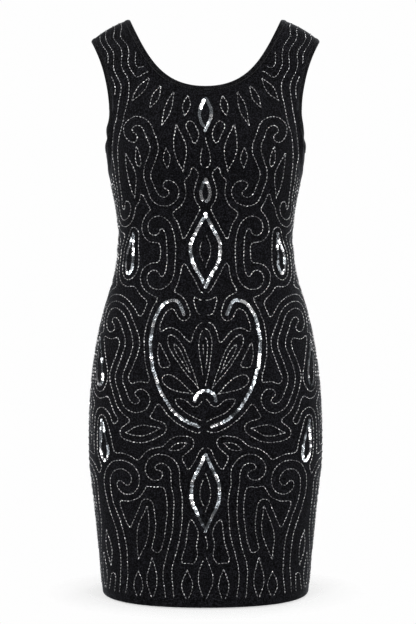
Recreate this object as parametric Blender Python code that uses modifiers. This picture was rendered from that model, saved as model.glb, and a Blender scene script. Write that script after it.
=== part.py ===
"""A sleeveless bodycon dress, filled out as if worn, with nobody in it.

Units are metres. +X is the dress's left side as it faces -Y, +Z is up, and the origin lies midway
between the two straps, at the height of the straps' inner ends, where shoulders hold the dress up.

The cloth follows one surface around a general figure: an oval section at each height, whose front
and back are drawn in towards the shoulder line at the top. The front and the back are thin walls on
that surface, which meet at the side seams and the shoulder seams. Their darts, which pull the waist
in and leave room at the bust and the seat, are taken up in the sections. The bindings are flat
strips that carry on from the cut edges of the neckline and the armholes.
"""

import math

import bpy
import numpy as np
from mathutils import Vector

# Driving dimensions
DRESS_LENGTH = 0.875
CLOTH = 0.0015
SEAM_GAP = 0.0003
# The cut edges lean by up to 8 degrees where faceted panels meet, so their middles stay back
SEAM_HALF = SEAM_GAP / 2 + 0.0001
BINDING_WIDTH = 0.006
BINDING_THICKNESS = 0.0026
BINDING_SOFTNESS = 0.0008

# The finished openings, bindings included. Drops are below the origin
NECK_HALF_WIDTH = 0.1142
FRONT_NECK_DROP = 0.1062
BACK_NECK_DROP = 0.112
SHOULDER_HALF_WIDTH = 0.174
SHOULDER_SLOPE = 0.56
ARMHOLE_DROP = 0.194

# The neckline's two middle control points, as shares of its end's x and of its lowest z
NECK_CONTROLS = ((0.60, 1.0), (0.775, 0.52))
# The armhole's two middle control points: degrees from the centre line, share of its lowest z
FRONT_ARM_CONTROLS = ((61, 1.0), (46, 0.46))
BACK_ARM_CONTROLS = ((63, 1.0), (48, 0.46))

# How far below the shoulder line the strap has turned from lying flat to hanging upright
SHOULDER_ROUND = 0.075

# How square the sections are: 0 is an ellipse
SQUARENESS = 0.022

# The dress's sections. Columns: drop below the origin, half width, depth in front, depth behind
SECTIONS = (
    ("shoulder", 0.030, 0.2000, 0.062, 0.070),
    ("upper_chest", 0.090, 0.1750, 0.088, 0.098),
    ("armhole", 0.145, 0.1570, 0.110, 0.113),
    ("bust", 0.190, 0.1515, 0.119, 0.114),
    ("under_bust", 0.245, 0.1437, 0.109, 0.105),
    ("rib", 0.290, 0.1353, 0.097, 0.094),
    ("waist", 0.338, 0.1324, 0.091, 0.088),
    ("belly", 0.385, 0.1385, 0.094, 0.093),
    ("high_hip", 0.445, 0.1562, 0.102, 0.108),
    ("hip", 0.520, 0.1712, 0.109, 0.124),
    ("seat", 0.600, 0.1780, 0.113, 0.129),
    ("thigh", 0.660, 0.1788, 0.114, 0.124),
    ("lower_thigh", 0.760, 0.1690, 0.112, 0.113),
    ("hem", 0.875, 0.1590, 0.109, 0.106),
)

# The fullness that the bust darts leave in the front. Centre, reach and depth of each side
BUST_OUT = 0.074
BUST_DROP = 0.186
BUST_REACH = 0.052
BUST_FULLNESS = 0.011

# Panel grid: columns that end at the neckline, the shoulder seam and the armhole, and rows
NECK_COLUMNS = 5
STRAP_COLUMNS = 4
ARM_COLUMNS = 5
BODY_ROWS = 30
STRAP_ROWS = 7
# Shares of the neckline and the armhole that the body's columns reach. The strap has the rest
NECK_SPLIT = 0.52
ARM_SPLIT = 0.50
# Share of the body's height at which its level rows start to lean towards the chest line
LEAN_START = 0.35
# Brings the strap's rows closer together towards the shoulder seam, where it curves most
STRAP_EASING = 2

FRONT = -1
BACK = 1


def smooth_curve(places, values):
    """A function that passes smoothly through values at places, by cubic steps."""
    slopes = np.gradient(values, places)

    def value_at(place):
        place = min(max(place, places[0]), places[-1])
        i = min(int(np.searchsorted(places, place, side="right")) - 1, len(places) - 2)
        step = places[i + 1] - places[i]
        t = (place - places[i]) / step
        rise = t * t * (3 - 2 * t)
        return (
            values[i] * (1 - rise)
            + values[i + 1] * rise
            + slopes[i] * step * t * (1 - t) ** 2
            - slopes[i + 1] * step * t * t * (1 - t)
        )

    return value_at


DROPS = np.array([row[1] for row in SECTIONS])
half_width_at = smooth_curve(DROPS, np.array([row[2] for row in SECTIONS]))
DEPTH_AT = {
    FRONT: smooth_curve(DROPS, np.array([row[3] for row in SECTIONS])),
    BACK: smooth_curve(DROPS, np.array([row[4] for row in SECTIONS])),
}


def across(angle):
    """How far out a section is at an angle from the centre line, as a share of its half width."""
    return (math.sin(angle) + SQUARENESS * math.sin(3 * angle)) / (1 - SQUARENESS)


def forward(angle):
    """How deep a section is at an angle from the centre line, as a share of its depth."""
    return (math.cos(angle) - SQUARENESS * math.cos(3 * angle)) / (1 - SQUARENESS)


def angle_at(x, z):
    """The angle from the centre line at which the section at height z is x wide."""
    share = min(x / half_width_at(-z), 1.0)
    low, high = 0.0, math.pi / 2
    for _ in range(40):
        middle = (low + high) / 2
        if across(middle) < share:
            low = middle
        else:
            high = middle
    return (low + high) / 2


def shoulder_height(x):
    """Height of the shoulder line, which slopes down from the strap's inner end."""
    return -SHOULDER_SLOPE * (x - NECK_HALF_WIDTH)


def bust_fullness(side, x, z):
    """Extra depth that the bust darts leave in the front panel."""
    if side == BACK:
        return 0.0
    off = ((x - BUST_OUT) ** 2 + (z + BUST_DROP) ** 2) / BUST_REACH**2
    return BUST_FULLNESS * math.exp(-off)


def surface_point(side, angle, z):
    """A point of the front or back surface, for x of 0 and more."""
    x = half_width_at(-z) * across(angle)
    turned = min(max((shoulder_height(x) - z) / SHOULDER_ROUND, 0.0), 1.0)
    drawn_in = math.sqrt(1 - (1 - turned) ** 2)
    depth = DEPTH_AT[side](-z) + bust_fullness(side, x, z)
    return Vector((x, side * (depth * forward(angle) * drawn_in + SEAM_HALF), z))


def bezier(points, t):
    """A point at t on the cubic curve with these four control points."""
    a, b, c, d = (np.array(p, float) for p in points)
    s = 1 - t
    return a * s**3 + b * 3 * s * s * t + c * 3 * s * t * t + d * t**3


def neckline(side, t):
    """(x, z) of the neckline seam, from the centre line at t 0 to the shoulder seam at t 1."""
    drop = FRONT_NECK_DROP if side == FRONT else BACK_NECK_DROP
    lowest = -drop - BINDING_WIDTH
    end_x = NECK_HALF_WIDTH + BINDING_WIDTH
    controls = [(x * end_x, z * lowest) for x, z in NECK_CONTROLS]
    return bezier(((0, lowest), *controls, (end_x, shoulder_height(end_x))), t)


def armhole(side, t):
    """(x, z) of the armhole seam, from the side seam at t 0 to the shoulder seam at t 1."""
    end_x = SHOULDER_HALF_WIDTH - BINDING_WIDTH
    end_z = shoulder_height(end_x)
    lowest = -ARMHOLE_DROP - BINDING_WIDTH
    chosen = FRONT_ARM_CONTROLS if side == FRONT else BACK_ARM_CONTROLS
    controls = [(math.radians(degrees), z * lowest) for degrees, z in chosen]
    angle, z = bezier(((math.pi / 2, lowest), *controls, (angle_at(end_x, end_z), end_z)), t)
    return np.array((half_width_at(-z) * across(angle), z))


def chest_line(side):
    """(x, z) of the line where the panel's columns end or go on into the strap."""
    inner = neckline(side, NECK_SPLIT)
    outer = armhole(side, ARM_SPLIT)
    under_neck = [neckline(side, NECK_SPLIT * i / NECK_COLUMNS) for i in range(NECK_COLUMNS)]
    under_strap = [inner + (outer - inner) * i / STRAP_COLUMNS for i in range(STRAP_COLUMNS)]
    under_arm = [armhole(side, ARM_SPLIT * (1 - i / ARM_COLUMNS)) for i in range(ARM_COLUMNS + 1)]
    return under_neck + under_strap + under_arm


def body_places(side):
    """Rows of (angle, z) from the hem up to the chest line, for x of 0 and more."""
    top = [(angle_at(x, z), z) for x, z in chest_line(side)]
    top[0] = (0.0, top[0][1])
    top[-1] = (math.pi / 2, top[-1][1])
    even = [math.pi / 2 * i / (len(top) - 1) for i in range(len(top))]
    level = sum(z for _, z in top) / len(top)
    rows = []
    for j in range(BODY_ROWS + 1):
        up = j / BODY_ROWS
        lean = max(0.0, (up - LEAN_START) / (1 - LEAN_START)) ** 2
        base = -DRESS_LENGTH + (level + DRESS_LENGTH) * up
        rows.append([(a + lean * (b - a), base + lean * (z - level)) for a, (b, z) in zip(even, top)])
    return rows


def strap_places(side):
    """Rows of (angle, z) above the chest line, up to the shoulder seam."""
    rows = []
    for k in range(1, STRAP_ROWS + 1):
        up = 1 - (1 - k / STRAP_ROWS) ** STRAP_EASING
        inner = neckline(side, NECK_SPLIT + (1 - NECK_SPLIT) * up)
        outer = armhole(side, ARM_SPLIT + (1 - ARM_SPLIT) * up)
        row = []
        for i in range(STRAP_COLUMNS + 1):
            x, z = inner + (outer - inner) * i / STRAP_COLUMNS
            row.append((angle_at(x, z), shoulder_height(x) if k == STRAP_ROWS else z))
        rows.append(row)
    return rows


def grid_faces(numbers):
    """Quads between rows of point numbers, facing out when rows go up and columns go left."""
    return [
        (low[i], low[i + 1], high[i + 1], high[i])
        for low, high in zip(numbers, numbers[1:])
        for i in range(len(low) - 1)
    ]


def panel_grid(side):
    """The panel half as (points, faces, numbers along the neckline, numbers along the armhole)."""
    body = body_places(side)
    strap = strap_places(side)
    points = [surface_point(side, angle, z) for row in body + strap for angle, z in row]
    width = len(body[0])
    body_numbers = [[j * width + i for i in range(width)] for j in range(len(body))]
    first = width * len(body)
    size = STRAP_COLUMNS + 1
    strap_numbers = [body_numbers[-1][NECK_COLUMNS : NECK_COLUMNS + size]]
    for k in range(STRAP_ROWS):
        strap_numbers.append([first + k * size + i for i in range(size)])
    faces = grid_faces(body_numbers) + grid_faces(strap_numbers)
    if side == BACK:
        faces = [tuple(reversed(face)) for face in faces]
    above = strap_numbers[1:]
    neck = body_numbers[-1][: NECK_COLUMNS + 1] + [row[0] for row in above]
    arm = body_numbers[-1][: -ARM_COLUMNS - 2 : -1] + [row[-1] for row in above]
    return points, faces, neck, arm


def collection_named(name):
    collection = bpy.data.collections.new(name)
    bpy.context.scene.collection.children.link(collection)
    return collection


def cloth_material(name, colour, roughness):
    """A matte cloth in one colour."""
    material = bpy.data.materials.new(name)
    material.use_nodes = True
    shader = material.node_tree.nodes["Principled BSDF"]
    shader.inputs["Base Color"].default_value = (*colour, 1)
    shader.inputs["Roughness"].default_value = roughness
    shader.inputs["Metallic"].default_value = 0.0
    return material


def add_object(collection, name, points, faces, material):
    """A smooth-shaded object made of these faces."""
    mesh = bpy.data.meshes.new(name)
    mesh.from_pydata([tuple(point) for point in points], [], faces)
    mesh.materials.append(material)
    mesh.shade_smooth()
    mesh.set_sharp_from_angle(angle=math.radians(50))
    made = bpy.data.objects.new(name, mesh)
    collection.objects.link(made)
    return made


def mirror_across_centre(made):
    mirror = made.modifiers.new("Mirror", "MIRROR")
    mirror.merge_threshold = 0.00001


def add_panel(collection, name, side, material):
    """The front or the back, and the edges where bindings carry on, as (point, way out) pairs."""
    points, faces, neck, arm = panel_grid(side)
    panel = add_object(collection, name, points, faces, material)
    mirror_across_centre(panel)
    cloth = panel.modifiers.new("Cloth", "SOLIDIFY")
    cloth.thickness = CLOTH
    cloth.offset = 0
    edges = []
    for line in (neck, arm):
        corners = [panel.data.vertices[number] for number in line]
        edges.append([(corner.co.copy(), corner.normal.copy()) for corner in corners])
    _, centre_way_out = edges[0][0]
    centre_way_out.x = 0
    return edges


def binding_section():
    """(away from the panel, out of the cloth) round the binding's flattened section."""
    half = BINDING_THICKNESS / 2
    near = SEAM_GAP
    far = SEAM_GAP + BINDING_WIDTH
    soft = BINDING_SOFTNESS
    return (
        (near, -half + soft),
        (near + soft, -half),
        (far - 2 * soft, -half),
        (far, 0.0),
        (far - 2 * soft, half),
        (near + soft, half),
        (near, half - soft),
    )


def binding_rings(edge, closed):
    """The binding's section at each point of a panel's edge, square to the edge."""
    points = [point for point, _ in edge]
    last = len(points) - 1
    rings = []
    for i, (point, out) in enumerate(edge):
        before = points[i - 1] if closed else points[max(i - 1, 0)]
        after = points[(i + 1) % len(points)] if closed else points[min(i + 1, last)]
        along = (after - before).normalized()
        out = (out - along * out.dot(along)).normalized()
        away = along.cross(out)
        rings.append([point + away * a + out * b for a, b in binding_section()])
    return rings


def ring_faces(count, size, closed):
    """Quads between neighbouring rings of points."""
    faces = []
    for i in range(count if closed else count - 1):
        j = (i + 1) % count
        for k in range(size):
            m = (k + 1) % size
            faces.append((i * size + k, j * size + k, j * size + m, i * size + m))
    return faces


def joined(first, second):
    """Two edges that meet at their last points, as one with the meeting point in the middle."""
    point = (first[-1][0] + second[-1][0]) / 2
    out = (first[-1][1] + second[-1][1]).normalized()
    return first[:-1] + [(point, out)] + second[-2::-1]


def add_neck_binding(collection, front_edge, back_edge, material):
    """The strip round the neckline, over both shoulders and round the back."""
    rings = binding_rings(joined(back_edge, front_edge), closed=False)
    for point in rings[0] + rings[-1]:
        point.x = 0.0
    points = [point for ring in rings for point in ring]
    faces = ring_faces(len(rings), len(rings[0]), closed=False)
    mirror_across_centre(add_object(collection, "neck_binding", points, faces, material))


def add_armhole_binding(collection, name, front_edge, back_edge, material, left):
    """The strip round one armhole, closed under the arm."""
    edge = joined(front_edge, back_edge)
    underarm = (edge[0][0] + edge[-1][0]) / 2
    out = (edge[0][1] + edge[-1][1]).normalized()
    rings = binding_rings([(underarm, out), *edge[1:-1]], closed=True)
    points = [point for ring in rings for point in ring]
    faces = ring_faces(len(rings), len(rings[0]), closed=True)
    if not left:
        points = [Vector((-point.x, point.y, point.z)) for point in points]
        faces = [tuple(reversed(face)) for face in faces]
    add_object(collection, name, points, faces, material)


def main():
    for leftover in list(bpy.data.objects):
        bpy.data.objects.remove(leftover)
    dress = collection_named("bodycon_dress")
    front_cloth = cloth_material("front_cloth", (0.010, 0.010, 0.011), 0.85)
    back_cloth = cloth_material("back_cloth", (0.010, 0.010, 0.011), 0.85)
    binding_cloth = cloth_material("binding_cloth", (0.014, 0.013, 0.013), 0.7)
    front_neck, front_arm = add_panel(dress, "front", FRONT, front_cloth)
    back_neck, back_arm = add_panel(dress, "back", BACK, back_cloth)
    add_neck_binding(dress, front_neck, back_neck, binding_cloth)
    for name, left in (("armhole_binding_left", True), ("armhole_binding_right", False)):
        add_armhole_binding(dress, name, front_arm, back_arm, binding_cloth, left)


main()
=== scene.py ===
"""Looks of a sleeveless bodycon dress: matte black stretch cloth sewn all over with silver beads.

Units are metres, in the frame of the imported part: -Y is the front, +X the dress's left side, +Z up.
"""

import math
import random

import bmesh
import bpy
import numpy as np
from mathutils import Matrix, Vector
from mathutils.bvhtree import BVHTree
from mathutils.geometry import barycentric_transform
from mathutils.kdtree import KDTree


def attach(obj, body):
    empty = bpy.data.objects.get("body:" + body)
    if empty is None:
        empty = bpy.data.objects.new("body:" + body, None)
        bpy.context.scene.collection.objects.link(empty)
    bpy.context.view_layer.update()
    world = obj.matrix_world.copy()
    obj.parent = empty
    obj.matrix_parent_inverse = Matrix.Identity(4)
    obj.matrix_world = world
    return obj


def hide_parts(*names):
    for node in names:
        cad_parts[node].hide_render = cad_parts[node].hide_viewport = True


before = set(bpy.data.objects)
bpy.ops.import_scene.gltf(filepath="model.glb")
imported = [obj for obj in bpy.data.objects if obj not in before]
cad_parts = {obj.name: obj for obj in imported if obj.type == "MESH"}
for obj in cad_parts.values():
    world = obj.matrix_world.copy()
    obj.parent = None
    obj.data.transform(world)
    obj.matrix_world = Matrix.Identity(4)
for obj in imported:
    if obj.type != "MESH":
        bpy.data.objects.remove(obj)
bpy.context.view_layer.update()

MM = 0.001

# The dress's own sizes, as its solids have them
DRESS_LENGTH = 0.875
CLOTH = 0.0015
BINDING_WIDTH = 0.006
NECK_HALF_WIDTH = 0.1142
FRONT_NECK_DROP = 0.1062
BACK_NECK_DROP = 0.112
SHOULDER_HALF_WIDTH = 0.174
SHOULDER_SLOPE = 0.56
ARMHOLE_DROP = 0.194
NECK_CONTROLS = ((0.60, 1.0), (0.775, 0.52))
FRONT_ARM_CONTROLS = ((61, 1.0), (46, 0.46))
BACK_ARM_CONTROLS = ((63, 1.0), (48, 0.46))
SHOULDER_ROUND = 0.075
SQUARENESS = 0.022
# Half of the gap beside the seams. At the seam itself the front and the back meet
SEAM_HALF = 0.0001

# Sections down the dress, in millimetres. Columns: drop, half width, depth in front, depth behind
SECTIONS = (
    (30, 200, 62, 70),
    (90, 175, 88, 98),
    (145, 157, 110, 113),
    (190, 151.5, 119, 114),
    (245, 143.7, 109, 105),
    (290, 135.3, 97, 94),
    (338, 132.4, 91, 88),
    (385, 138.5, 94, 93),
    (445, 156.2, 102, 108),
    (520, 171.2, 109, 124),
    (600, 178, 113, 129),
    (660, 178.8, 114, 124),
    (760, 169, 112, 113),
    (875, 159, 109, 106),
)
# The fullness that the bust darts leave in the front
BUST_OUT = 0.074
BUST_DROP = 0.186
BUST_REACH = 0.052
BUST_FULLNESS = 0.011

# The visible cloth's grid, finer than the solids'
NECK_COLUMNS = 14
STRAP_COLUMNS = 12
ARM_COLUMNS = 36
BODY_ROWS = 140
STRAP_ROWS = 30
NECK_SPLIT = 0.52
ARM_SPLIT = 0.50
LEAN_START = 0.35
STRAP_EASING = 2
WELD_REACH = 0.00001

# The hem is turned up inside, round a small fold. It has a row of points at each share of its height
HEM_TURN = 0.018
HEM_ROWS = (1.0, 0.7, 0.4, 0.15)
HEM_ROUND = 0.0011
HEM_FOLD_STEPS = 4

# The cloth is drawn in beside the side seams
SEAM_PINCH = 0.0007
SEAM_SOFTNESS = 0.003
# The shoulder seam bows up between its ends, and the bindings bend down there at their outer edge
SHOULDER_BOW = 0.0024
SHOULDER_SOFTNESS = 0.012
SHOULDER_DROOP = 0.0022

# The bindings are strips folded over the cut edge
BINDING_CLOTH = 0.0005
BINDING_HALF = 0.00135
BINDING_LAP = 0.0020
BINDING_FOLD_STEPS = 6

# A stretch dress is cut this much smaller round the body than it is when filled out
STRETCH = 1.06

FRONT = -1
BACK = 1
LEFT = 1
RIGHT = -1


# Form of the cloth

def smooth_curve(places, values):
    """A function that passes smoothly through values at places, by cubic steps."""
    slopes = np.gradient(values, places)

    def value_at(place):
        place = min(max(place, places[0]), places[-1])
        i = min(int(np.searchsorted(places, place, side="right")) - 1, len(places) - 2)
        step = places[i + 1] - places[i]
        t = (place - places[i]) / step
        rise = t * t * (3 - 2 * t)
        return (
            values[i] * (1 - rise)
            + values[i + 1] * rise
            + slopes[i] * step * t * (1 - t) ** 2
            - slopes[i + 1] * step * t * t * (1 - t)
        )

    return value_at


DROPS, HALF_WIDTHS, FRONT_DEPTHS, BACK_DEPTHS = np.array(SECTIONS).T * MM
half_width_at = smooth_curve(DROPS, HALF_WIDTHS)
DEPTH_AT = {FRONT: smooth_curve(DROPS, FRONT_DEPTHS), BACK: smooth_curve(DROPS, BACK_DEPTHS)}


def across(angle):
    """How far out a section is at an angle from the centre line, as a share of its half width."""
    return (math.sin(angle) + SQUARENESS * math.sin(3 * angle)) / (1 - SQUARENESS)


def forward(angle):
    """How deep a section is at an angle from the centre line, as a share of its depth."""
    return (math.cos(angle) - SQUARENESS * math.cos(3 * angle)) / (1 - SQUARENESS)


def angle_at(x, z):
    """The angle from the centre line at which the section at height z is x wide."""
    share = min(x / half_width_at(-z), 1.0)
    low, high = 0.0, math.pi / 2
    for _ in range(40):
        middle = (low + high) / 2
        if across(middle) < share:
            low = middle
        else:
            high = middle
    return (low + high) / 2


def shoulder_height(x):
    """Height of the shoulder line, which slopes down from the strap's inner end."""
    return -SHOULDER_SLOPE * (x - NECK_HALF_WIDTH)


def bust_fullness(side, x, z):
    """Extra depth that the bust darts leave in the front panel."""
    if side == BACK:
        return 0.0
    off = ((x - BUST_OUT) ** 2 + (z + BUST_DROP) ** 2) / BUST_REACH**2
    return BUST_FULLNESS * math.exp(-off)


def surface_point(side, angle, z):
    """A point of the front or back surface, for x of 0 and more."""
    x = half_width_at(-z) * across(angle)
    turned = min(max((shoulder_height(x) - z) / SHOULDER_ROUND, 0.0), 1.0)
    drawn_in = math.sqrt(1 - (1 - turned) ** 2)
    depth = DEPTH_AT[side](-z) + bust_fullness(side, x, z)
    return Vector((x, side * (depth * forward(angle) * drawn_in + SEAM_HALF), z))


def bezier(points, t):
    """A point at t on the cubic curve with these four control points."""
    a, b, c, d = (np.array(p, float) for p in points)
    s = 1 - t
    return a * s**3 + b * 3 * s * s * t + c * 3 * s * t * t + d * t**3


def neckline(side, t):
    """(x, z) of the neckline seam, from the centre line at t 0 to the shoulder seam at t 1."""
    drop = FRONT_NECK_DROP if side == FRONT else BACK_NECK_DROP
    lowest = -drop - BINDING_WIDTH
    end_x = NECK_HALF_WIDTH + BINDING_WIDTH
    controls = [(x * end_x, z * lowest) for x, z in NECK_CONTROLS]
    return bezier(((0, lowest), *controls, (end_x, shoulder_height(end_x))), t)


def armhole(side, t):
    """(x, z) of the armhole seam, from the side seam at t 0 to the shoulder seam at t 1."""
    end_x = SHOULDER_HALF_WIDTH - BINDING_WIDTH
    end_z = shoulder_height(end_x)
    lowest = -ARMHOLE_DROP - BINDING_WIDTH
    chosen = FRONT_ARM_CONTROLS if side == FRONT else BACK_ARM_CONTROLS
    controls = [(math.radians(degrees), z * lowest) for degrees, z in chosen]
    angle, z = bezier(((math.pi / 2, lowest), *controls, (angle_at(end_x, end_z), end_z)), t)
    return np.array((half_width_at(-z) * across(angle), z))


def chest_line(side):
    """(x, z) of the line where the panel's columns end or go on into the strap."""
    inner = neckline(side, NECK_SPLIT)
    outer = armhole(side, ARM_SPLIT)
    under_neck = [neckline(side, NECK_SPLIT * i / NECK_COLUMNS) for i in range(NECK_COLUMNS)]
    under_strap = [inner + (outer - inner) * i / STRAP_COLUMNS for i in range(STRAP_COLUMNS)]
    under_arm = [armhole(side, ARM_SPLIT * (1 - i / ARM_COLUMNS)) for i in range(ARM_COLUMNS + 1)]
    return under_neck + under_strap + under_arm


def body_places(side):
    """Rows of (angle, z) from the hem up to the chest line, for x of 0 and more."""
    top = [(angle_at(x, z), z) for x, z in chest_line(side)]
    top[0] = (0.0, top[0][1])
    top[-1] = (math.pi / 2, top[-1][1])
    even = [math.pi / 2 * i / (len(top) - 1) for i in range(len(top))]
    level = sum(z for _, z in top) / len(top)
    rows = []
    for j in range(BODY_ROWS + 1):
        up = j / BODY_ROWS
        lean = max(0.0, (up - LEAN_START) / (1 - LEAN_START)) ** 2
        base = -DRESS_LENGTH + (level + DRESS_LENGTH) * up
        rows.append([(a + lean * (b - a), base + lean * (z - level)) for a, (b, z) in zip(even, top)])
    return rows


def strap_places(side):
    """Rows of (angle, z) above the chest line, up to the shoulder seam."""
    rows = []
    for k in range(1, STRAP_ROWS + 1):
        up = 1 - (1 - k / STRAP_ROWS) ** STRAP_EASING
        inner = neckline(side, NECK_SPLIT + (1 - NECK_SPLIT) * up)
        outer = armhole(side, ARM_SPLIT + (1 - ARM_SPLIT) * up)
        row = []
        for i in range(STRAP_COLUMNS + 1):
            x, z = inner + (outer - inner) * i / STRAP_COLUMNS
            row.append((angle_at(x, z), shoulder_height(x) if k == STRAP_ROWS else z))
        rows.append(row)
    return rows


def numbered(first, rows, width):
    """Point numbers in rows, counted on from first."""
    return [list(range(start, start + width)) for start in range(first, first + rows * width, width)]


def grid_faces(rows):
    """Quads between rows of points, facing out when rows go up and columns go left."""
    return [
        (low[i], low[i + 1], high[i + 1], high[i])
        for low, high in zip(rows, rows[1:])
        for i in range(len(low) - 1)
    ]


class HalfPanel:
    """One half of the front or the back, as points in space and in the flat.

    Flat points are (p, q): p is the way along the cloth from the centre line, and q the height, which
    above the chest line is the way along the cloth. For each hand, shaped holds (point, way out) with the
    folds put in.
    """

    def __init__(self, side):
        self.side = side
        body = body_places(side)
        strap = strap_places(side)
        self.width = len(body[0])
        self.points = [surface_point(side, angle, z) for row in body + strap for angle, z in row]
        count = self.width * len(body)
        self.body = numbered(0, len(body), self.width)
        size = STRAP_COLUMNS + 1
        self.strap = [self.body[-1][NECK_COLUMNS : NECK_COLUMNS + size]]
        self.strap += numbered(count, len(strap), size)
        self.faces = grid_faces(self.body) + grid_faces(self.strap)
        self.neck = self.body[-1][: NECK_COLUMNS + 1] + [row[0] for row in self.strap[1:]]
        self.arm = self.body[-1][: -ARM_COLUMNS - 2 : -1] + [row[-1] for row in self.strap[1:]]
        self.beside_seam = {number for row in self.body for number in row[-3:]}
        self.seams = {row[-1] for row in self.body} | set(self.strap[-1])
        self.flat = self.flattened()
        self.shaped = {}

    def flattened(self):
        """The flat point of each point."""
        flat = [None] * len(self.points)
        for row in self.body:
            p = 0.0
            for before, number in zip([row[0], *row], row):
                step = self.points[number] - self.points[before]
                p += math.hypot(step.x, step.y)
                flat[number] = (p, self.points[number].z)
        for below, row in zip(self.strap, self.strap[1:]):
            for under, number in zip(below, row):
                step = self.points[number] - self.points[under]
                rise = math.hypot(step.y, step.z)
                flat[number] = (flat[under][0] + step.x, flat[under][1] + rise)
        return flat

    def edge(self, numbers, hand):
        """The shaped points of these numbers."""
        return [self.shaped[hand][number] for number in numbers]


# How far a crease reaches along and across, in its own lengths and widths
CREASE_LENGTHS = 1.3
CREASE_WIDTHS = 4
# Creases. Columns: x, z, length, width, depth (below 0 for a trough), in millimetres, lean in degrees
SHARED_CREASES = (
    (-150, -226, 48, 8, 1.8, 0),
    (150, -226, 48, 8, 1.8, 0),
    (-152, -198, 16, 6, -0.9, 0),
    (152, -198, 16, 6, -0.9, 0),
)
FRONT_CREASES = (
    (-145, -188, 30, 6, 1.2, 0),
    (-146.2, -184, 85, 1.5, -2.6, 2),
    (-142.4, -178, 75, 1.6, 2.2, 3),
    (-138.2, -186, 70, 1.9, -2.4, 5),
    (-133.6, -180, 60, 2.3, 1.8, 8),
    (145, -188, 30, 6, 1.5, 0),
    (146, -180, 84, 1.5, -2.6, -2),
    (142, -186, 72, 1.7, 2.1, -4),
    (137.6, -182, 66, 2, -2.3, -6),
    (132.8, -188, 56, 2.4, 1.6, -9),
    (60, -245, 120, 12, -0.8, 76),
    (-64, -250, 110, 12, -0.9, -78),
    (122, -330, 90, 8, -1.2, 82),
    (-120, -322, 80, 7.5, -1.3, -84),
    (118, -352, 70, 7, 1, 86),
    (-115, -346, 80, 7, 1.1, -88),
)
BACK_CREASES = (
    (152, -170, 80, 1.3, -1.4, -2),
    (147, -178, 70, 1.8, 1.5, -3),
    (141.5, -168, 65, 2.1, -1.4, -6),
    (135, -180, 56, 2.6, 1.1, -8),
    (-152.3, -174, 78, 1.2, -1.5, 1),
    (-147.8, -167, 66, 1.7, 1.5, 4),
    (-142, -179, 72, 2, -1.5, 5),
    (-135.8, -171, 55, 2.5, 1.2, 9),
    (52, -318, 130, 11, -1.4, 83),
    (-58, -327, 120, 12, -1.3, -85),
    (47, -347, 120, 11, 1.1, 88),
    (-50, -353, 130, 11, -1.2, -87),
    (60, -372, 100, 11, -0.9, 84),
)


def crease_at(side, x, z):
    """How far the cloth stands out of its smooth form at a place, in millimetres."""
    out = 0.0
    creases = FRONT_CREASES if side == FRONT else BACK_CREASES
    for at_x, at_z, length, width, depth, lean in SHARED_CREASES + creases:
        over = x - at_x
        up = z - at_z
        turn = math.radians(lean)
        along = up * math.cos(turn) + over * math.sin(turn)
        aside = over * math.cos(turn) - up * math.sin(turn)
        if abs(along) < CREASE_LENGTHS * length and abs(aside) < CREASE_WIDTHS * width:
            out += depth * math.exp(-((2 * along / length) ** 2) - (aside / width) ** 2)
    return out


# Materials

def fill(tree, node, inputs):
    """Sets a node's inputs, each to a value or to another node's output."""
    for key, value in inputs.items():
        if isinstance(value, bpy.types.NodeSocket):
            tree.links.new(value, node.inputs[key])
        else:
            node.inputs[key].default_value = value


def add_node(tree, kind, inputs=None, **settings):
    """A new shader node with its inputs and settings."""
    node = tree.nodes.new("ShaderNode" + kind)
    for key, value in settings.items():
        setattr(node, key, value)
    fill(tree, node, inputs or {})
    return node


def mapped(tree, value, low, high, to_low=0.0, to_high=1.0):
    """A value's share of the way from low to high, spread over another range."""
    inputs = {"Value": value, "From Min": low, "From Max": high, "To Min": to_low, "To Max": to_high}
    return add_node(tree, "MapRange", inputs).outputs["Result"]


def toned(tree, value, stops):
    """The colour for a value, by stops of (place, colour)."""
    ramp = add_node(tree, "ValToRGB", {"Fac": value})
    elements = ramp.color_ramp.elements
    first, *middle, last = stops
    for element, (place, colour) in ((elements[0], first), (elements[1], last)):
        element.position = place
        element.color = (*colour, 1)
    for place, colour in middle:
        elements.new(place).color = (*colour, 1)
    return ramp.outputs["Color"]


def noise(tree, scale, detail, roughness):
    """An even noise in the dress's own space."""
    where = add_node(tree, "TexCoord").outputs["Object"]
    inputs = {"Vector": where, "Scale": scale, "Detail": detail, "Roughness": roughness}
    return add_node(tree, "TexNoise", inputs).outputs["Fac"]


def new_material(name):
    """A material with its nodes and its shader."""
    material = bpy.data.materials.new(name)
    material.use_nodes = True
    return material, material.node_tree, material.node_tree.nodes["Principled BSDF"]


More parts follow.
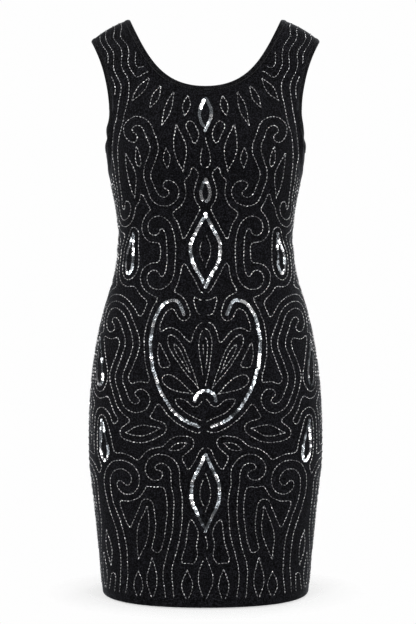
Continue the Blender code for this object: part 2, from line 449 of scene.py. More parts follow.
def cloth_material(name, colour, wale_pitch, relief):
    """Matte knit: fine wales that run up the cloth, a broken grain over them and a soft mottle."""
    material, tree, shader = new_material(name)
    where = add_node(tree, "TexCoord").outputs["Object"]
    wave = {"Vector": where, "Scale": math.pi / 10 / wale_pitch, "Distortion": 1.5, "Detail": 2.0}
    wales = add_node(tree, "TexWave", wave, wave_type="BANDS", bands_direction="X")
    grain = mapped(tree, noise(tree, 560.0, 2.0, 0.6), 0.45, 0.70)
    mottle = mapped(tree, noise(tree, 60.0, 4.0, 0.6), 0.3, 0.7, 0.88, 1.12)
    shade = add_node(tree, "Math", {0: grain, 1: mottle}, operation="MULTIPLY")
    stops = [(place, [c * times for c in colour]) for place, times in ((0, 0.05), (1, 17.0))]
    height = add_node(tree, "Math", {0: grain, 1: wales.outputs["Fac"]}, operation="ADD")
    stand = {"Height": height.outputs[0], "Strength": 0.5, "Distance": relief}
    bump = add_node(tree, "Bump", stand)
    fill(tree, shader, {
        "Base Color": toned(tree, shade.outputs[0], stops),
        "Normal": bump.outputs["Normal"],
        "Roughness": 0.92,
        "Specular IOR Level": 0.06,
        "Sheen Weight": 0.26,
        "Sheen Roughness": 0.31,
        "Sheen Tint": (0.75, 0.78, 0.85, 1),
    })
    return material


def metal_material(name, colour, roughness, metallic=1.0, cloudy=0.25):
    """Silvered glass or foil: bright, a little uneven in tone and polish from piece to piece."""
    material, tree, shader = new_material(name)
    cloud = noise(tree, 420.0, 2.0, 0.5)
    darker = [c * (1 - cloudy) for c in colour]
    lighter = [min(1.0, c * (1 + cloudy)) for c in colour]
    fill(tree, shader, {
        "Base Color": toned(tree, cloud, ((0.3, darker), (0.7, lighter))),
        "Roughness": mapped(tree, cloud, 0.0, 1.0, roughness * 0.7, roughness * 1.4),
        "Metallic": metallic,
    })
    return material


# Cloth pieces

def add_object(name, data):
    """A new object in the scene."""
    made = bpy.data.objects.new(name, data)
    bpy.context.scene.collection.objects.link(made)
    return made


def new_piece(name, points, faces, materials):
    """A smooth-shaded object made of these faces."""
    mesh = bpy.data.meshes.new(name)
    mesh.from_pydata([tuple(point) for point in points], [], faces)
    for material in materials:
        mesh.materials.append(material)
    mesh.shade_smooth()
    return add_object(name, mesh)


def thicken(piece, thickness):
    """Gives a sheet its thickness, half of it on each side."""
    cloth = piece.modifiers.new("Cloth", "SOLIDIFY")
    cloth.thickness = thickness
    cloth.offset = 0


def seam_form(half, number):
    """How far the cloth is drawn in beside the side seam, or stands up along the shoulder seam."""
    point = half.points[number]
    below = shoulder_height(point.x) - point.z
    if below < SHOULDER_ROUND / 2:
        inner = NECK_HALF_WIDTH + BINDING_WIDTH
        share = (point.x - inner) / (SHOULDER_HALF_WIDTH - BINDING_WIDTH - inner)
        bow = 4 * share * (1 - share)
        return SHOULDER_BOW * max(bow, 0.0) * math.exp(-((below / SHOULDER_SOFTNESS) ** 2))
    beside = abs(point.y) if number in half.beside_seam else 1.0
    return -SEAM_PINCH * math.exp(-((beside / SEAM_SOFTNESS) ** 2))


def panel_piece(name, half, material):
    """The whole panel as one sheet with its folds and its turned hem. It fills in half.shaped too."""
    points = []
    faces = []
    normals = smooth_normals(half)
    for hand in (LEFT, RIGHT):
        first = len(points)
        moved = []
        for number, point in enumerate(half.points):
            here = Vector((point.x * hand, 0 if number in half.seams else point.y, point.z))
            out = Vector((normals[number].x * hand, normals[number].y, normals[number].z))
            stand = crease_at(half.side, here.x / MM, here.z / MM) * MM + seam_form(half, number)
            moved.append((here + out * stand, out))
        half.shaped[hand] = moved
        points += [place for place, _ in moved]
        turned = turned_hem(half.edge(half.body[0], hand))
        hem_rows = numbered(len(points), len(turned), half.width)
        hem_rows.append([first + number for number in half.body[0]])
        points += [place for row in turned for place in row]
        quads = grid_faces(hem_rows)
        quads += [tuple(first + number for number in face) for face in half.faces]
        if hand * half.side > 0:
            quads = [tuple(reversed(face)) for face in quads]
        faces += quads
    piece = new_piece(name, points, faces, [material])
    weld(piece)
    thicken(piece, CLOTH)
    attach(piece, "root")
    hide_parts(name.replace("_cloth", ""))
    return piece


def smooth_normals(half):
    """The way out of the cloth at each point of the half panel."""
    normals = [Vector() for _ in half.points]
    for face in half.faces:
        a, b, c, d = (half.points[number] for number in face)
        facing = (c - a).cross(d - b) * -half.side
        for number in face:
            normals[number] += facing
    for row in half.body:
        normals[row[0]].x = 0
    for number in half.seams:
        normals[number].y = 0
    return [normal.normalized() for normal in normals]


def turned_hem(edge):
    """Rows of points from the turned hem's inner top edge, round the fold, to just below the cloth."""
    places = [(2 * HEM_ROUND, -HEM_TURN * share) for share in HEM_ROWS]
    for step in range(HEM_FOLD_STEPS):
        turn = math.pi * step / HEM_FOLD_STEPS
        places.append((HEM_ROUND * (1 + math.cos(turn)), HEM_ROUND * math.sin(turn)))
    return [[point - out * inward - Vector((0, 0, fall)) for point, out in edge] for inward, fall in places]


def weld(piece):
    """Joins the two halves along the centre line."""
    cage = bmesh.new()
    cage.from_mesh(piece.data)
    bmesh.ops.remove_doubles(cage, verts=cage.verts, dist=WELD_REACH)
    cage.to_mesh(piece.data)
    cage.free()


def binding_profile():
    """(away from the panel, out of the cloth) along the folded strip, from its outer to its inner edge."""
    far = BINDING_WIDTH
    upper = [(-BINDING_LAP, CLOTH / 2 + BINDING_CLOTH / 2), (-BINDING_LAP / 3, BINDING_HALF * 0.97)]
    upper += [(far * share, BINDING_HALF) for share in (0.2, 0.5)]
    fold = []
    for step in range(BINDING_FOLD_STEPS + 1):
        turn = math.pi / 2 - math.pi * step / BINDING_FOLD_STEPS
        fold.append((far - BINDING_HALF * (1 - math.cos(turn)), BINDING_HALF * math.sin(turn)))
    return upper + fold + [(a, -b) for a, b in reversed(upper)]


def binding_piece(name, edge, material):
    """A folded strip along the closed edge of an opening, given as (point, way out) pairs."""
    points = [point for point, _ in edge]
    count = len(points)
    profile = binding_profile()
    made = []
    for i, (point, out) in enumerate(edge):
        along = (points[(i + 1) % count] - points[i - 1]).normalized()
        out = (out - along * out.dot(along)).normalized()
        away = along.cross(out)
        below = shoulder_height(abs(point.x)) - point.z
        droop = SHOULDER_DROOP * math.exp(-((below / SHOULDER_SOFTNESS) ** 2))
        for a, b in profile:
            bent = b - droop * (max(a, 0.0) / BINDING_WIDTH) ** 2
            made.append(point + away * a + out * bent)
    rings = numbered(0, count, len(profile))
    piece = new_piece(name, made, grid_faces([*rings, rings[0]]), [material])
    thicken(piece, BINDING_CLOTH)
    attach(piece, "root")
    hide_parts(name.replace("_strip", ""))
    return piece


def joined(first, second):
    """Two edges that meet at their last points, as one with the meeting point in the middle."""
    point = (first[-1][0] + second[-1][0]) / 2
    out = (first[-1][1] + second[-1][1]).normalized()
    return first[:-1] + [(point, out)] + second[-2::-1]


def neck_edge(front, back):
    """The whole neckline as one closed line of (point, way out)."""
    left, right = (joined(back.edge(back.neck, hand), front.edge(front.neck, hand)) for hand in (LEFT, RIGHT))
    return left[:-1] + right[:0:-1]


def arm_edge(front, back, hand):
    """One armhole as a closed line of (point, way out)."""
    line = joined(front.edge(front.arm, hand), back.edge(back.arm, hand))
    underarm = (line[0][0] + line[-1][0]) / 2
    out = (line[0][1] + line[-1][1]).normalized()
    line = [(underarm, out), *line[1:-1]]
    return line if hand == LEFT else [line[0], *line[:0:-1]]


def declare_panel(half):
    """Works out the area of the panel's cut, with the hem's turning but without seam allowances, and does
    nothing with it.
    """
    hem_width = 2 * half.flat[half.body[0][-1]][0]
    area = sum(quad_area([half.points[number] for number in face]) for face in half.faces) * 2
    area = (area + hem_width * HEM_TURN) / STRETCH


def quad_area(corners):
    """The area of a face with four corners."""
    a, b, c, d = corners
    return (c - a).cross(d - b).length / 2


def declare_binding(stitches):
    """Builds the strip's folded profile and does nothing with it."""
    profile = binding_profile()


# Beadwork in the flat. Places and sizes are millimetres: p out from the centre line, q up
RIBBON_HALF = 6.5
SKETCH_STEP = 1.5
SPLINE_STEPS = 8
ARC_POINTS = 25
ALMOND_STEPS = 24
ALMOND_TAPER = 1.3
DROP_STEPS = 48
DROP_TAPER = 1.4
# How much closer a curl's line comes in a full turn, and the degrees between its corners
CURL_PITCH = 26
CURL_STEP = 30
# Where along a scroll's stem its corners are
STEM_CORNERS = (0.25, 0.5, 0.75)

# Rays, petals and hearts of fans. Columns: heading in degrees, length
NECK_RAYS = ((-80, 32), (-71, 54), (-62, 38), (-53, 44))
HIP_PETALS = ((90, 86), (61, 90), (28, 52))
HIP_HEARTS = ((90, 46), (61, 48))
# Leaves that stand on the hem. Columns: place, height, half width
HEM_LEAVES = ((0, 72, 11), (27, 50, 8), (80, 66, 8), (102, 44, 8), (174, 62, 8), (222, 50, 8))
LEAF_FOOT = -868

# What is sewn along each line: a ribbon is a band with a line of beads along each edge
BEADS = "beads"
SEQUINS = "sequins"
RIBBON = "ribbon"


def spline(corners):
    """A smooth line through corners."""
    corners = np.array([corners[0], *corners, corners[-1]], float)
    line = []
    for a, b, c, d in zip(corners, corners[1:], corners[2:], corners[3:]):
        for t in np.arange(SPLINE_STEPS) / SPLINE_STEPS:
            bend = (2 * a - 5 * b + 4 * c - d) * t * t + (3 * b - a - 3 * c + d) * t**3
            line.append((2 * b + (c - a) * t + bend) / 2)
    return [*line, corners[-1]]


def curl(p, q, radius, start, sweep):
    """Corners of a spiral inwards, from an angle in degrees and round by sweep."""
    steps = max(2, round(abs(sweep) / CURL_STEP))
    corners = []
    for i in range(steps + 1):
        turned = sweep * i / steps
        turn = math.radians(start + turned)
        reach = radius - CURL_PITCH * abs(turned) / 360
        corners.append((p + math.cos(turn) * reach, q + math.sin(turn) * reach))
    return corners


def placed(line, p, q, lean):
    """A line drawn about the origin, leant over by degrees to the left and moved to (p, q)."""
    c, s = math.cos(math.radians(lean)), math.sin(math.radians(lean))
    return [(p + c * x - s * y, q + s * x + c * y) for x, y in line]


def almond(p, q, half_width, half_height, lean=0):
    """A closed outline with a point at each end."""
    turns = [math.pi * (i / ALMOND_STEPS - 0.5) for i in range(ALMOND_STEPS + 1)]
    right = [(half_width * math.cos(t) ** ALMOND_TAPER, half_height * 2 * t / math.pi) for t in turns]
    left = [(-x, y) for x, y in reversed(right)]
    return placed(right + left, p, q, lean)


def drop(p, q, half_width, half_height, lean=0):
    """A closed outline, round below and pointed above."""
    turns = [2 * math.pi * i / DROP_STEPS for i in range(DROP_STEPS + 1)]
    widths = [half_width * math.sin(t) * math.sin(t / 2) ** DROP_TAPER for t in turns]
    line = [(width, half_height * math.cos(t)) for width, t in zip(widths, turns)]
    return placed(line, p, q, lean)


def arc(p, q, radius, start, end):
    """Part of a circle, between two angles in degrees."""
    turns = np.radians(np.linspace(start, end, ARC_POINTS))
    return [(p + radius * math.cos(t), q + radius * math.sin(t)) for t in turns]


def fan(q, reach, half_width, petals, shape):
    """Petals of one shape that spread from a place on the centre line, given as (heading, length)."""
    lines = []
    for heading, length in petals:
        turn = math.radians(heading)
        middle = reach + length / 2
        at = (math.cos(turn) * middle, q + math.sin(turn) * middle)
        lines.append((BEADS, shape(*at, half_width, length / 2, heading + 90)))
    return lines


def scroll(p, q, radius, spread, below, bow=4):
    """A bowed stem at p with a curl at each end: the upper one outwards, the lower one to one side."""
    bows = 2 if below < 0 else 1
    upper = curl(p + radius, q + spread, radius, 180, -270)
    stem = [(p - bow * math.sin(bows * math.pi * t), q + spread * (1 - 2 * t)) for t in STEM_CORNERS]
    lower = curl(p + below * radius, q - spread, radius, 90 + 90 * below, 270 * below)
    return spline([*reversed(upper), *stem, *lower])


def motifs():
    """The lines that the rest of the pattern echoes, on the half where p is 0 and more."""
    strap = [(156, 34), (146, 8), (147, -20), (134, -48), (134, -76), (122, -104), (130, -144), (148, -188)]
    inner_stem = [(52, -872), (56, -820), (44, -770), (40, -720), (44, -690)]
    middle_stem = [(132, -872), (126, -820), (132, -770), (152, -720)]
    outer_stem = [(202, -872), (196, -820), (184, -770), (188, -720)]
    lyre = [(10, -604), (38, -590), (62, -560), (78, -516), (80, -470), (66, -430), (42, -420), (32, -440)]
    lines = [
        (SEQUINS, almond(0, -148, 9, 24)),
        (BEADS, drop(0, -204, 10, 22)),
        (SEQUINS, drop(0, -256, 9, 18)),
        (BEADS, almond(37, -197, 9, 35, -8)),
        (BEADS, drop(104, -209, 7, 15)),
        (BEADS, almond(56, -211, 5, 15, -4)),
        (RIBBON, scroll(82, -216, 25, 40, -1, 8)),
        (BEADS, almond(121, -236, 9, 35, -12)),
        (RIBBON, spline([*strap, (160, -232), (158, -268), *curl(137, -282, 20, 0, -240)])),
        (SEQUINS, almond(0, -346, 22, 54)),
        (BEADS, almond(0, -346, 8, 26)),
        (RIBBON, scroll(54, -350, 20, 34, 1)),
        (SEQUINS, drop(118, -352, 10, 30, 6)),
        (SEQUINS, spline(lyre)),
        (SEQUINS, arc(0, -566, 15, 0, 90)),
        (RIBBON, scroll(124, -510, 24, 52, -1, 9)),
        (SEQUINS, drop(176, -516, 12, 34, -6)),
        (SEQUINS, almond(0, -702, 21, 58)),
        (BEADS, almond(0, -702, 8, 30)),
        (BEADS, drop(0, -779, 5, 11)),
        (BEADS, almond(40, -634, 5, 15, 68)),
        (RIBBON, spline([*inner_stem, *curl(70, -672, 26, 180, -300)])),
        (RIBBON, spline([*middle_stem, *curl(124, -690, 32, 0, 330)])),
        (RIBBON, spline([*outer_stem, *curl(214, -700, 26, 180, -320)])),
        (SEQUINS, drop(162, -632, 11, 30, -8)),
        (BEADS, almond(94, -765, 9, 43, 10)),
        (BEADS, almond(94, -612, 8, 28, 80)),
        (BEADS, almond(158, -796, 7, 28, -10)),
    ]
    lines += fan(20, 142, 5.5, NECK_RAYS, almond)
    lines += fan(-566, 20, 13, HIP_PETALS, drop)
    lines += fan(-566, 46, 5, HIP_HEARTS, drop)
    for p, height, half_width in HEM_LEAVES:
        lines.append((BEADS, almond(p, LEAF_FOOT + height / 2, half_width, height / 2)))
    return lines


def resampled(line, step):
    """Points at an even step along a line."""
    corners = np.array(line, float)
    lengths = np.hypot(*np.diff(corners, axis=0).T)
    along = np.concatenate([[0], np.cumsum(lengths)])
    count = max(1, int(along[-1] / step))
    at = np.linspace(0, along[-1], count + 1)
    return np.stack([np.interp(at, along, values) for values in corners.T], 1)


def line_length(line):
    return np.hypot(*np.diff(line, axis=0).T).sum()


FIELD_P = np.arange(-14.0, 262.0, 2.0)
FIELD_Q = np.arange(-890.0, 50.0, 2.0)
SMOOTHING = 6
# Where the relief is cut, just off its own points, and the shortest line that is kept
LEVELS = [10.0 * i + 1e-4 for i in range(7)]
SHORTEST_ECHO = 80
# On the back, the sequined drops this far out are beaded instead, so the sides don't look like masks
SIDE_DROPS = 100


def nearest_tree(lines):
    spots = [spot for line in lines for spot in resampled(line, SKETCH_STEP)]
    tree = KDTree(len(spots))
    for number, (p, q) in enumerate(spots):
        tree.insert((p, q, 0), number)
    tree.balance()
    return tree


def echo_field(lines):
    """How far each place of a grid is from the lines, less half a ribbon's width from ribbons."""
    plain = nearest_tree([line for kind, line in lines if kind != RIBBON])
    ribbons = nearest_tree([line for kind, line in lines if kind == RIBBON])
    away = np.zeros((len(FIELD_Q), len(FIELD_P)))
    for j, q in enumerate(FIELD_Q):
        for i, p in enumerate(FIELD_P):
            place = (abs(p), q, 0)
            away[j, i] = min(plain.find(place)[2], ribbons.find(place)[2] - RIBBON_HALF)
    for _ in range(SMOOTHING):
        away[1:-1] = (away[:-2] + 2 * away[1:-1] + away[2:]) / 4
        away[:, 1:-1] = (away[:, :-2] + 2 * away[:, 1:-1] + away[:, 2:]) / 4
    return away


def field_mesh(away):
    """The field as a relief to be cut at each level."""
    grid = bmesh.new()
    rows = [[grid.verts.new((p, q, z)) for p, z in zip(FIELD_P, row)] for q, row in zip(FIELD_Q, away)]
    for corners in grid_faces(rows):
        grid.faces.new(corners)
    return grid


def level_lines(grid, level):
    """Lines of (p, q) along which the relief is at this height."""
    cut = grid.copy()
    all_of_it = cut.verts[:] + cut.edges[:] + cut.faces[:]
    plane = {"plane_co": (0, 0, level), "plane_no": (0, 0, 1)}
    made = bmesh.ops.bisect_plane(cut, geom=all_of_it, dist=1e-5, **plane)
    # A dict keeps the edges in order, where a set would give other beads in each run
    loose = dict.fromkeys(item for item in made["geom_cut"] if isinstance(item, bmesh.types.BMEdge))
    links = {}
    for edge in loose:
        for vert in edge.verts:
            links.setdefault(vert, []).append(edge)
    ends = [vert for vert in links if len(links[vert]) == 1]
    lines = []
    for start in ends + list(links):
        line = [start]
        while True:
            edge = next((edge for edge in links[line[-1]] if edge in loose), None)
            if edge is None:
                break
            del loose[edge]
            line.append(edge.other_vert(line[-1]))
        if len(line) > 2:
            lines.append([(vert.co.x, vert.co.y) for vert in line])
    cut.free()
    return lines


def pattern():
    """All lines to sew, as (kind, line), in the flat."""
    drawn = motifs()
    grid = field_mesh(echo_field(drawn))
    lines = [(kind, line) for kind, line in drawn if kind != RIBBON]
    for level in LEVELS:
        found = level_lines(grid, level)
        lines += [(BEADS, line) for line in found if line_length(line) > SHORTEST_ECHO]
    grid.free()
    return lines


def with_plain_sides(lines):
    """The same lines, with beads for the sequins near the side seam."""
    return [(BEADS if min(p for p, _ in line) > SIDE_DROPS else kind, line) for kind, line in lines]


# The beads end this far from the hem, the bindings and the underarm corner
HEM_MARGIN = 0.0105
EDGE_MARGIN = 0.0075
UNDERARM_MARGIN = 0.046
EDGE_SPOTS = (0, 0.25, 0.5, 0.75)


class FlatMap:
    """Finds where a place in the flat is on the cloth of one half panel."""

    def __init__(self, half):
        self.half = half
        self.triangles = [t for a, b, c, d in half.faces for t in ((a, b, c), (a, c, d))]
        self.corners = [Vector((p, q, 0)) for p, q in half.flat]
        self.tree = BVHTree.FromPolygons(self.corners, self.triangles, epsilon=1e-7)
        edges = half.neck + half.arm
        self.edge = KDTree(len(edges) * len(EDGE_SPOTS))
        for line in (half.neck, half.arm):
            for a, b in zip(line, line[1:]):
                for share in EDGE_SPOTS:
                    self.edge.insert(self.corners[a].lerp(self.corners[b], share), a)
        self.edge.balance()

    def place(self, p, q, hand):
        """(point, way out) on the cloth, or None past its edge or too near it."""
        flat = Vector((p, q, 0))
        found = self.tree.ray_cast(Vector((p, q, 1)), Vector((0, 0, -1)))
        if found[0] is None or q < -DRESS_LENGTH + HEM_MARGIN:
            return None
        underarm = self.corners[self.half.arm[0]]
        if self.edge.find(flat)[2] < EDGE_MARGIN or (flat - underarm).length < UNDERARM_MARGIN:
            return None
        numbers = self.triangles[found[2]]
        flat_corners = [self.corners[number] for number in numbers]
        corners = self.half.edge(numbers, hand)
        point = barycentric_transform(flat, *flat_corners, *(place for place, _ in corners))
        out = sum((out for _, out in corners), Vector()).normalized()
        return point, out


# Sewn pieces. In each step of a line lie a bugle, which is a short tube, and a seed bead
BUGLE_LENGTH = 0.0033
BUGLE_RADIUS = 0.00052
BUGLE_AT = 0.36
SEED_RADIUS = 0.00050
SEED_LENGTH = SEED_RADIUS * 1.7
SEED_AT = 0.86
SEED_PITCH = 0.0052
# How high a bead's middle stands on the cloth, as a share of its radius
BEAD_STAND = 0.9
BUGLE_SWING = 0.12
BUGLE_LENGTHS = (0.84, 1.06)
SHORTEST_RUN = 0.012
# How far past the centre line a line may run
CENTRE_OVERLAP = 0.0004
# Waves in which a line strays aside. Columns: height in millimetres, turn in each step, phases
STRAYS = ((0.35, 0.7, 1), (0.21, 1.9, 2))

SEQUIN_RADIUS = 0.0026
SEQUIN_HOLE = 0.0006
SEQUIN_THICKNESS = 0.00012
SEQUIN_CUP = 0.00015
SEQUIN_SIDES = 12
SEQUIN_PITCH = 0.0038
SEQUIN_STAND = 0.0010
SEQUIN_JITTER = 0.0002
SEQUIN_BEAD_LIFT = 0.0004
# A few sequins in a row lean alike: how many, and the mean and the spread of their lean and roll
SEQUIN_GROUP = (2, 5)
SEQUIN_LEAN = (0.05, 0.14)
SEQUIN_ROLL = (0.02, 0.14)
SEQUIN_UNEVEN = 0.07

# The finishes of each kind, and how often each is drawn
BUGLE_FINISHES = ((0, 1, 2), (5, 3, 3))
SEED_FINISHES = ((1, 2, 3), (1, 1, 14))
# The cool and the darkest sequin finishes are dimmer copies of the silver: painted shade, standing in for how
# runs of sequins catch the light
SEQUIN_FINISHES = ((0, 1, 2), (4, 3, 3))
JET = 3

# Rings of a short tube: place and size, as shares of its length and its radius
SOFT_ENDS = ((-0.5, 0.6), (-0.43, 1.0), (0.43, 1.0), (0.5, 0.6))
ROUND = ((-0.5, 0.5), (0.0, 1.0), (0.5, 0.5))
PLAIN = ((-0.5, 1.0), (0.5, 1.0))
TUBE_SIDES = 5
SHARP = math.radians(40)

# Stitches of black thread, along the bindings and the hem
STITCH_LENGTH = 0.0022
STITCH_PITCH = 0.0034
THREAD_RADIUS = 0.00024
HEM_STITCH_LENGTH = STITCH_LENGTH * 0.6
HEM_STITCH_PITCH = 0.0075
# In millimetres, and past the side seam
HEM_STITCHES_END = 250
# Where across the binding's lap the stitches are
STITCHED_AT = 0.4


def wandering(line, step, phase):
    """Even steps along a line that strays a little to each side, as hand sewing does."""
    spots = resampled(line, step)
    ahead = np.gradient(spots, axis=0)
    lengths = np.linalg.norm(ahead, axis=1, keepdims=True) + 1e-9
    aside = np.stack([-ahead[:, 1], ahead[:, 0]], 1) / lengths
    at = np.arange(len(spots))
    stray = sum(height * np.sin(at * turn + phases * phase) for height, turn, phases in STRAYS)
    return spots + aside * stray[:, None]


def sewn_runs(line, cloth, hand, step, phase):
    """Stretches of (point, way out) at an even step, where the line lies on the cloth."""
    innermost = -CENTRE_OVERLAP if hand == LEFT else step / 2
    runs = [[]]
    for p, q in wandering(line, step / MM, phase) * MM:
        spot = cloth.place(max(p, 0), q, hand) if p > innermost else None
        if spot is None:
            runs.append([])
        else:
            runs[-1].append(spot)
    return [run for run in runs if len(run) * step > SHORTEST_RUN]


def turned_shape(rings, sides, closed):
    """Points and faces round the X axis, by rings of (place, radius). Ends are filled unless closed."""
    turns = [2 * math.pi * k / sides for k in range(sides)]
    points = [(at, math.cos(t) * radius, math.sin(t) * radius) for at, radius in rings for t in turns]
    rows = numbered(0, len(rings), sides)
    columns = list(zip(*rows, rows[0])) if closed else list(zip(*rows))
    faces = grid_faces([*columns, columns[0]])
    if not closed:
        faces += [tuple(rows[0]), tuple(reversed(rows[-1]))]
    return np.array(points), faces


def tube(length, radius, rings):
    """A short tube along X."""
    return turned_shape([(at * length, size * radius) for at, size in rings], TUBE_SIDES, closed=False)


def sequin():
    """A thin cupped disc with a hole, facing Z."""
    rims = ((0, SEQUIN_HOLE), (0, SEQUIN_RADIUS), (1, SEQUIN_RADIUS), (1, SEQUIN_HOLE))
    rings = [(SEQUIN_THICKNESS * top + SEQUIN_CUP * (r / SEQUIN_RADIUS) ** 2, r) for top, r in rims]
    points, faces = turned_shape(rings, SEQUIN_SIDES, closed=True)
    return np.roll(points, -1, axis=1), [tuple(reversed(face)) for face in faces]


class Swarm:
    """Many copies of one small shape, joined into one object."""

    def __init__(self, template):
        self.shape, self.shape_faces = template
        self.points = []
        self.faces = []
        self.slots = []

    def add(self, place, turn, slot):
        """One copy: turn's rows are where its X, Y and Z axes point."""
        first = len(self.points) * len(self.shape)
        self.points.append(self.shape @ turn + np.array(place))
        self.faces += [tuple(number + first for number in face) for face in self.shape_faces]
        self.slots += [slot] * len(self.shape_faces)

    def finish(self, name, materials, slot):
        """The copies as one piece, each in its own finish."""
        piece = new_piece(name, np.concatenate(self.points).tolist(), self.faces, materials)
        piece.data.polygons.foreach_set("material_index", self.slots)
        piece.data.set_sharp_from_angle(angle=SHARP)
        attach(piece, "root")
        return piece


def frame_of(along, out):
    """Rows: along the line, across it, out of the cloth."""
    along = (along - out * along.dot(out)).normalized()
    return np.array((along, out.cross(along), out))


def sew_beads(bugles, seeds, run, chance):
    """A bugle and a seed bead in turn along a stretch."""
    for (point, out), (after, _) in zip(run, run[1:]):
        along = after - point
        turn = frame_of(along, out)
        swing = Matrix.Rotation(chance.uniform(-BUGLE_SWING, BUGLE_SWING), 3, "Z")
        roll = Matrix.Rotation(chance.uniform(0, 1.0), 3, "X")
        turned = np.array(roll @ swing) @ turn
        turned[0] *= chance.uniform(*BUGLE_LENGTHS)
        place = point + along * BUGLE_AT + out * (CLOTH / 2 + BUGLE_RADIUS * BEAD_STAND)
        bugles.add(place, turned, chance.choices(*BUGLE_FINISHES)[0])
        place = point + along * SEED_AT + out * (CLOTH / 2 + SEED_RADIUS * BEAD_STAND)
        seeds.add(place, turn, chance.choices(*SEED_FINISHES)[0])


def sew_sequins(sequins, seeds, run, chance):
    """Overlapping sequins, each under a seed bead. A few in a row lean the same way and share a finish, so
    the dimmer finishes paint shade over whole runs.
    """
    left = 0
    ends = [point for point, _ in run[1:]] + [2 * run[-1][0] - run[-2][0]]
    for (point, out), after in zip(run, ends):
        if left == 0:
            left = chance.randint(*SEQUIN_GROUP)
            lean = chance.gauss(*SEQUIN_LEAN)
            roll = chance.gauss(*SEQUIN_ROLL)
            finish = chance.choices(*SEQUIN_FINISHES)[0]
        left -= 1
        turn = frame_of(after - point, out)
        tip = Matrix.Rotation(lean + chance.gauss(0, SEQUIN_UNEVEN), 3, "Y")
        side = Matrix.Rotation(roll + chance.gauss(0, SEQUIN_UNEVEN), 3, "X")
        place = point + out * (CLOTH / 2 + SEQUIN_STAND + chance.uniform(0, SEQUIN_JITTER))
        turned = np.array(side @ tip).T @ turn
        sequins.add(place, turned, finish)
        seeds.add(place + out * SEQUIN_BEAD_LIFT, turned, JET)


def beadwork(name, cloth, lines, bead_finishes, sequin_finishes):
    """All bugles, seed beads and sequins of the front or the back, each kind as one joined object."""
    chance = random.Random(name)
    bugles = Swarm(tube(BUGLE_LENGTH, BUGLE_RADIUS, SOFT_ENDS))
    seeds = Swarm(tube(SEED_LENGTH, SEED_RADIUS, ROUND))
    sequins = Swarm(sequin())
    for kind, line in lines:
        for hand in (LEFT, RIGHT):
            phase = chance.uniform(0, 6)
            pitch = SEQUIN_PITCH if kind == SEQUINS else SEED_PITCH
            for run in sewn_runs(line, cloth, hand, pitch, phase):
                if kind == SEQUINS:
                    sew_sequins(sequins, seeds, run, chance)
                else:
                    sew_beads(bugles, seeds, run, chance)
    return [
        bugles.finish(f"{name}_bugle_beads", bead_finishes, "dress_cloth"),
        seeds.finish(f"{name}_seed_beads", bead_finishes, "dress_cloth"),
        sequins.finish(f"{name}_sequins", sequin_finishes, "dress_cloth"),
    ]


def binding_stitches(name, edge, thread):
    """A row of stitches that holds a binding down, just inside its lap."""
    stitches = Swarm(tube(STITCH_LENGTH, THREAD_RADIUS, PLAIN))
    line = edge + edge[:1]
    left_over = 0.0
    for (point, out), (after, _) in zip(line, line[1:]):
        span = after - point
        turn = frame_of(span, out)
        away = Vector(turn[0]).cross(out)
        while left_over < span.length:
            place = point + span.normalized() * left_over - away * BINDING_LAP * STITCHED_AT
            stitches.add(place + out * (BINDING_HALF + BINDING_CLOTH / 2), turn, 0)
            left_over += STITCH_PITCH
        left_over -= span.length
    return stitches.finish(name, [thread], "binding_cloth")


def hem_stitches(name, cloth, thread):
    """The small stitches that show where the hem is sewn up."""
    stitches = Swarm(tube(HEM_STITCH_LENGTH, THREAD_RADIUS, PLAIN))
    level = (HEM_TURN - DRESS_LENGTH) / MM
    line = [(0, level), (HEM_STITCHES_END, level)]
    for hand in (LEFT, RIGHT):
        for run in sewn_runs(line, cloth, hand, HEM_STITCH_PITCH, 0):
            for (point, out), (after, _) in zip(run, run[1:]):
                place = point + out * (CLOTH / 2 + THREAD_RADIUS / 2)
                stitches.add(place, frame_of(after - point, out), 0)
    return stitches.finish(name, [thread], "dress_cloth")


# Stage, lights and camera

FLOOR_Z = -DRESS_LENGTH - 0.004
FLOOR_RADIUS = 0.9
# How far the floor can be seen, to the side and to the front. Where it shows, round the hem, it is greyer
# than the white backdrop: a painted soft shadow besides the shadow the dress casts
SHADOW_FADE_RADII = (0.25, 0.165)
# The studio's tones, by height from below to above
ROOM_TONES = (
    (0, (0.16, 0.16, 0.16)),
    (0.52, (0.07, 0.072, 0.078)),
    (0.68, (0.42, 0.42, 0.42)),
    (1, (0.40, 0.40, 0.40)),
)


def add_floor():
    """A pale floor that fades out into the backdrop. Round the hem it shows greyer than the backdrop, a
    painted soft shadow besides the dress's own cast shadow.
    """
    disc = {"vertices": 96, "radius": FLOOR_RADIUS, "fill_type": "NGON"}
    bpy.ops.mesh.primitive_circle_add(location=(0, 0, FLOOR_Z), **disc)
    floor = bpy.context.object
    floor.name = "floor"
    material, tree, shader = new_material("floor_painted_shadow")
    where = add_node(tree, "TexCoord").outputs["Object"]
    scale = (1 / SHADOW_FADE_RADII[0], 1 / SHADOW_FADE_RADII[1], 1)
    spread = add_node(tree, "Mapping", {"Vector": where, "Scale": scale}).outputs["Vector"]
    painted_shadow_fade = add_node(tree, "TexGradient", {"Vector": spread}, gradient_type="SPHERICAL")
    fill(tree, shader, {
        "Base Color": (0.9, 0.9, 0.9, 1),
        "Roughness": 1.0,
        "Specular IOR Level": 0.0,
        # Painted shadow: the floor is most opaque under the hem and fades out, leaving a greyer patch round
        # it
        "Alpha": mapped(tree, painted_shadow_fade.outputs["Fac"], 0.0, 0.7, 0.0, 0.68),
    })
    floor.data.materials.append(material)


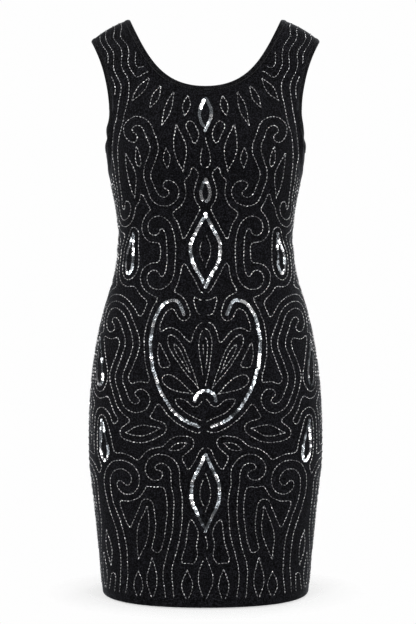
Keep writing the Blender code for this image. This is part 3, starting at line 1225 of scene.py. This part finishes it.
def add_world():
    """A white backdrop to the camera, and a dimmer studio to everything else."""
    world = bpy.data.worlds.new("studio")
    bpy.context.scene.world = world
    world.use_nodes = True
    tree = world.node_tree
    tree.nodes.clear()
    where = add_node(tree, "TexCoord").outputs["Generated"]
    up = add_node(tree, "SeparateXYZ", {"Vector": where}).outputs["Z"]
    tone = toned(tree, mapped(tree, up, -1.0, 1.0), ROOM_TONES)
    studio = add_node(tree, "Background", {"Color": tone, "Strength": 1.0})
    seen = add_node(tree, "Background", {"Color": (0.99, 0.99, 0.99, 1)})
    path = add_node(tree, "LightPath").outputs["Is Camera Ray"]
    mix = add_node(tree, "MixShader", {0: path, 1: studio.outputs[0], 2: seen.outputs[0]})
    add_node(tree, "OutputWorld", {"Surface": mix.outputs[0]})


# Lights. Columns: name, place, width, height, power
LIGHTS = (
    ("key", (-1.1, -1.9, 0.75), 0.9, 1.2, 23),
    ("fill", (1.3, -1.7, 0.1), 0.6, 1.4, 14),
    ("top", (0.0, -0.3, 1.4), 1.2, 0.8, 4),
    ("left_panel", (1.5, -0.25, -0.3), 0.5, 1.8, 9),
    ("right_panel", (-1.5, -0.25, -0.3), 0.5, 1.8, 9),
    ("rim", (0.9, 1.3, 0.5), 0.6, 1.2, 12),
    ("low", (-0.2, -2.1, -1.0), 1.4, 0.4, 9),
)
LIGHT_TARGET = Vector((0, 0, -0.42))


def add_lights():
    for name, place, width, height, power in LIGHTS:
        data = bpy.data.lights.new(name, "AREA")
        data.shape = "RECTANGLE"
        data.size = width
        data.size_y = height
        data.energy = power
        lamp = add_object(name, data)
        lamp.location = place
        lamp.rotation_euler = (LIGHT_TARGET - Vector(place)).to_track_quat("-Z", "Y").to_euler()


CAMERA_PLACE = (0.0038, -2.4, -0.2635)
CAMERA_TILT = 4.3
# The focal length in pixels, for a picture 624 pixels high
FOCAL_PIXELS = 1569
PICTURE_HEIGHT = 624
SENSOR = 36


def add_camera():
    data = bpy.data.cameras.new("camera")
    data.sensor_fit = "AUTO"
    data.sensor_width = SENSOR
    data.lens = SENSOR * FOCAL_PIXELS / PICTURE_HEIGHT
    camera = add_object("camera", data)
    camera.location = CAMERA_PLACE
    camera.rotation_euler = (math.radians(90 - CAMERA_TILT), 0, 0)
    bpy.context.scene.camera = camera


def main():
    add_camera()
    add_world()
    add_lights()
    add_floor()
    bpy.context.scene.view_settings.view_transform = "Standard"

    dress_cloth = cloth_material("dress_knit", (0.0013, 0.0013, 0.0016), 0.0011, 0.0003)
    binding_cloth = cloth_material("binding_knit", (0.0015, 0.0015, 0.0017), 0.0008, 0.0002)
    beads = [
        metal_material("bead_bright", (0.80, 0.80, 0.81), 0.30),
        metal_material("bead_silver", (0.57, 0.57, 0.58), 0.34),
        metal_material("bead_grey", (0.27, 0.27, 0.28), 0.40),
        metal_material("bead_jet", (0.03, 0.03, 0.032), 0.25, metallic=0.0),
    ]
    # The sequins are one silver; the cool and the darkest finish are painted half shade and shade on whole
    # runs, besides the real change that their lean makes
    sequins = [
        metal_material("sequin_bright", (0.92, 0.92, 0.93), 0.18, cloudy=0.03),
        metal_material("sequin_cool_painted_half_shade", (0.66, 0.70, 0.73), 0.20, cloudy=0.04),
        metal_material("sequin_painted_shade", (0.20, 0.215, 0.23), 0.24, cloudy=0.05),
    ]
    thread = metal_material("thread", (0.012, 0.012, 0.013), 0.6, metallic=0.0)

    drawn = pattern()
    lines = {FRONT: drawn, BACK: with_plain_sides(drawn)}
    halves = {side: HalfPanel(side) for side in (FRONT, BACK)}
    for side, name in ((FRONT, "front"), (BACK, "back")):
        half = halves[side]
        panel = panel_piece(f"{name}_cloth", half, dress_cloth)
        cloth = FlatMap(half)
        sewn = beadwork(name, cloth, lines[side], beads, sequins)
        sewn.append(hem_stitches(f"{name}_hem_stitches", cloth, thread))
        declare_panel(half)
    edges = {"neck_binding": neck_edge(halves[FRONT], halves[BACK])}
    for hand, word in ((LEFT, "left"), (RIGHT, "right")):
        edges[f"armhole_binding_{word}"] = arm_edge(halves[FRONT], halves[BACK], hand)
    for name, edge in edges.items():
        strip = binding_piece(f"{name}_strip", edge, binding_cloth)
        declare_binding(binding_stitches(f"{name}_stitches", edge, thread))


main()
